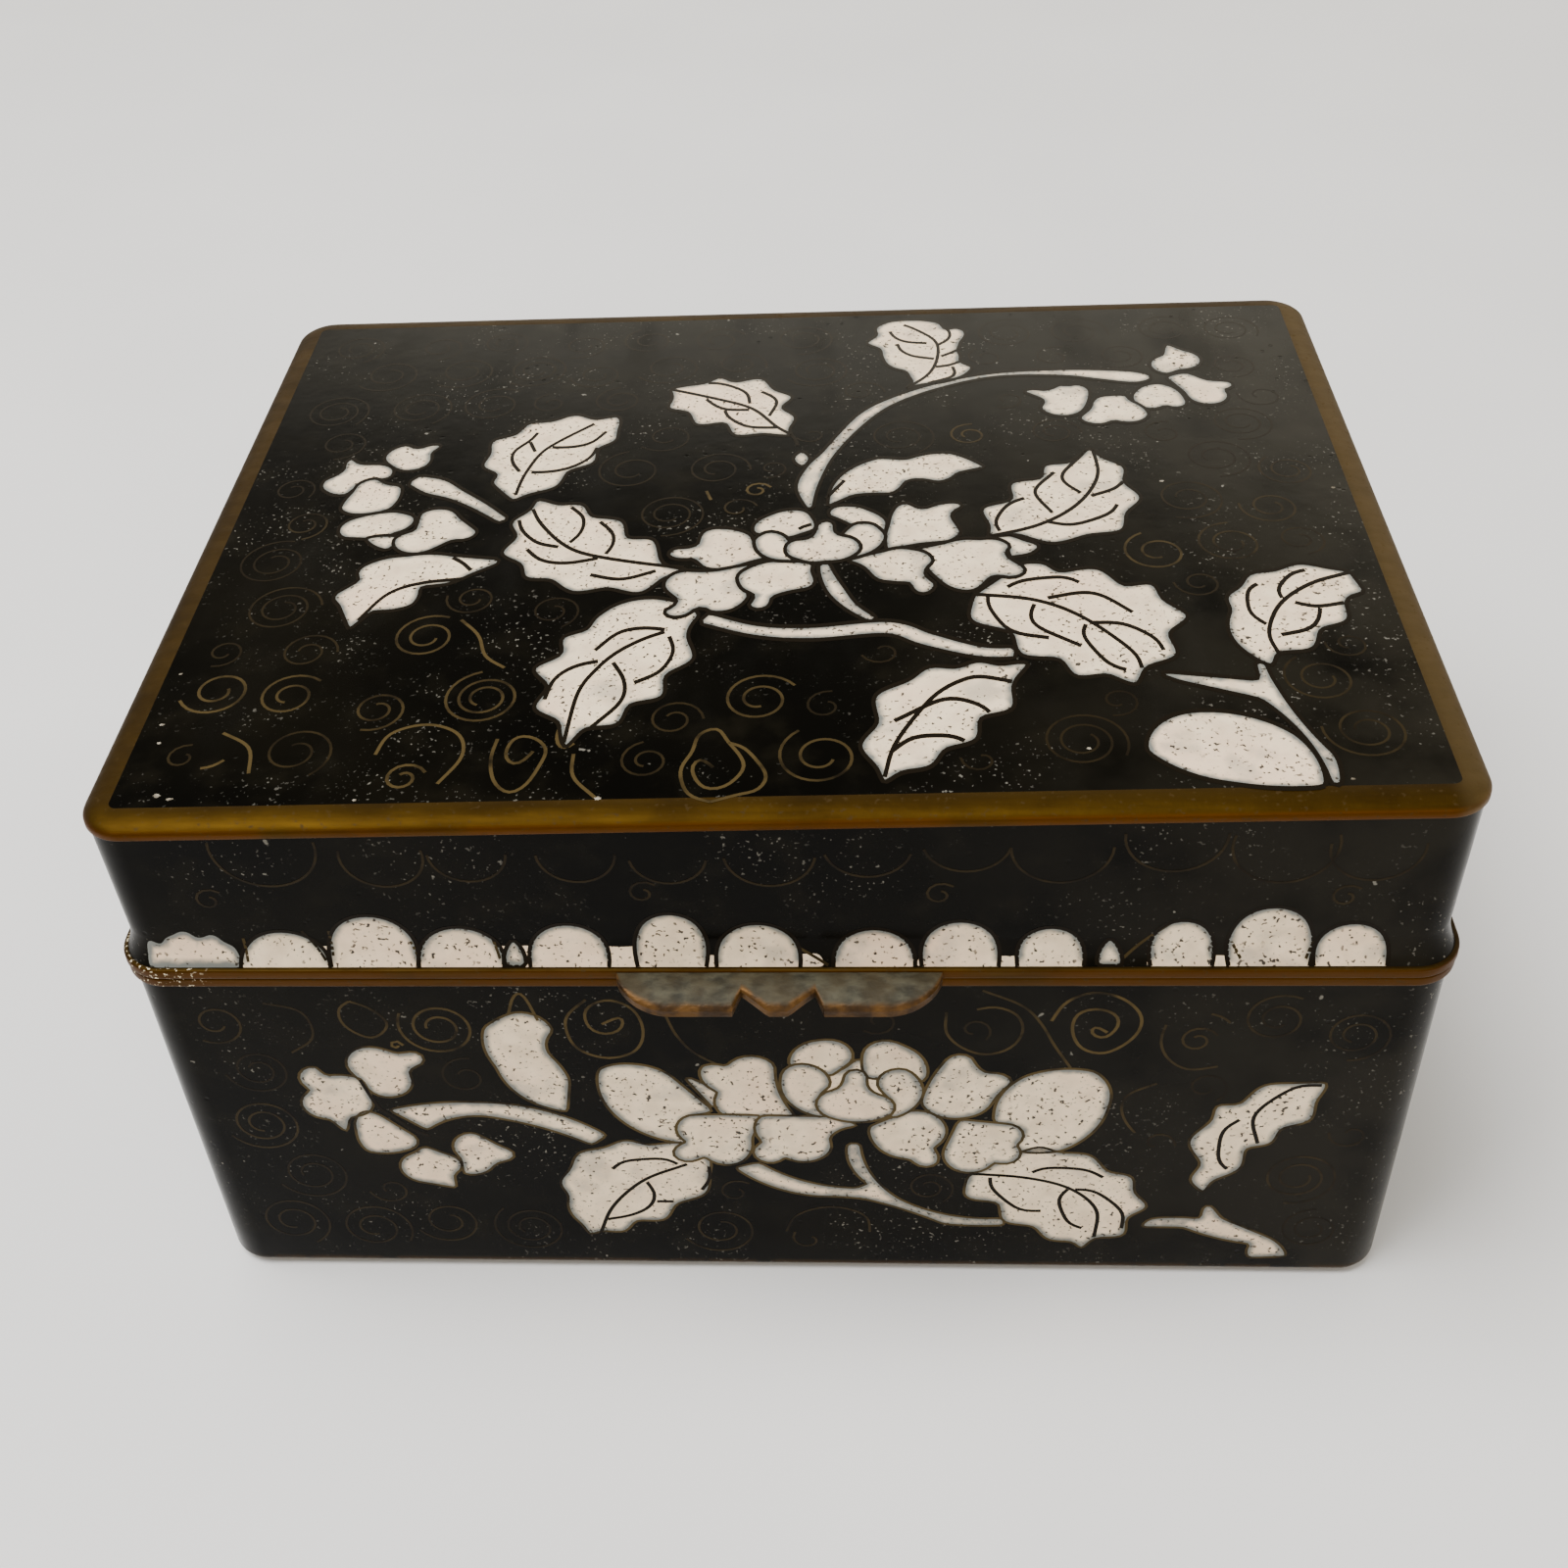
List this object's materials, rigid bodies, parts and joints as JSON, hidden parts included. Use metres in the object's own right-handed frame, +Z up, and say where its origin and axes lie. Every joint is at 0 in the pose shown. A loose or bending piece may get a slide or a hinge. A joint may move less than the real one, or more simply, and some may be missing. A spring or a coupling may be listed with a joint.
{
  "type": "cloisonne enamel box",
  "caption": "Small rectangular enamelled trinket box with a lift-off lid, brass rims and a scalloped thumb tab, for keeping small things on a table or shelf.",
  "frame": {"origin": "centre of the flat underside, on the surface the box stands on", "axes": "+Z up, +X along the length towards the viewer's right, -Y towards the front, where the thumb tab is"},
  "size_m": [0.1024, 0.0819, 0.0541],
  "materials": {
    "black_enamel": "glossy fused enamel, fine pits and dust",
    "white_enamel": "glossy fused enamel, fine dark pinholes",
    "wire": "fine drawn wire, ground flush and darkened",
    "brass": "aged, satin, redder towards the lower edges",
    "tarnished_brass": "dull, with a thin grey-green crust",
    "filler": "matt whitish repair filler"
  },
  "bodies": {
    "root": {"tray": "black_enamel", "tray_rim": "brass", "foot_rim": "brass", "lid_shell": "black_enamel", "lid_border": "brass", "lid_rim": "brass", "thumb_tab": "tarnished_brass"}
  },
  "joints": []
}
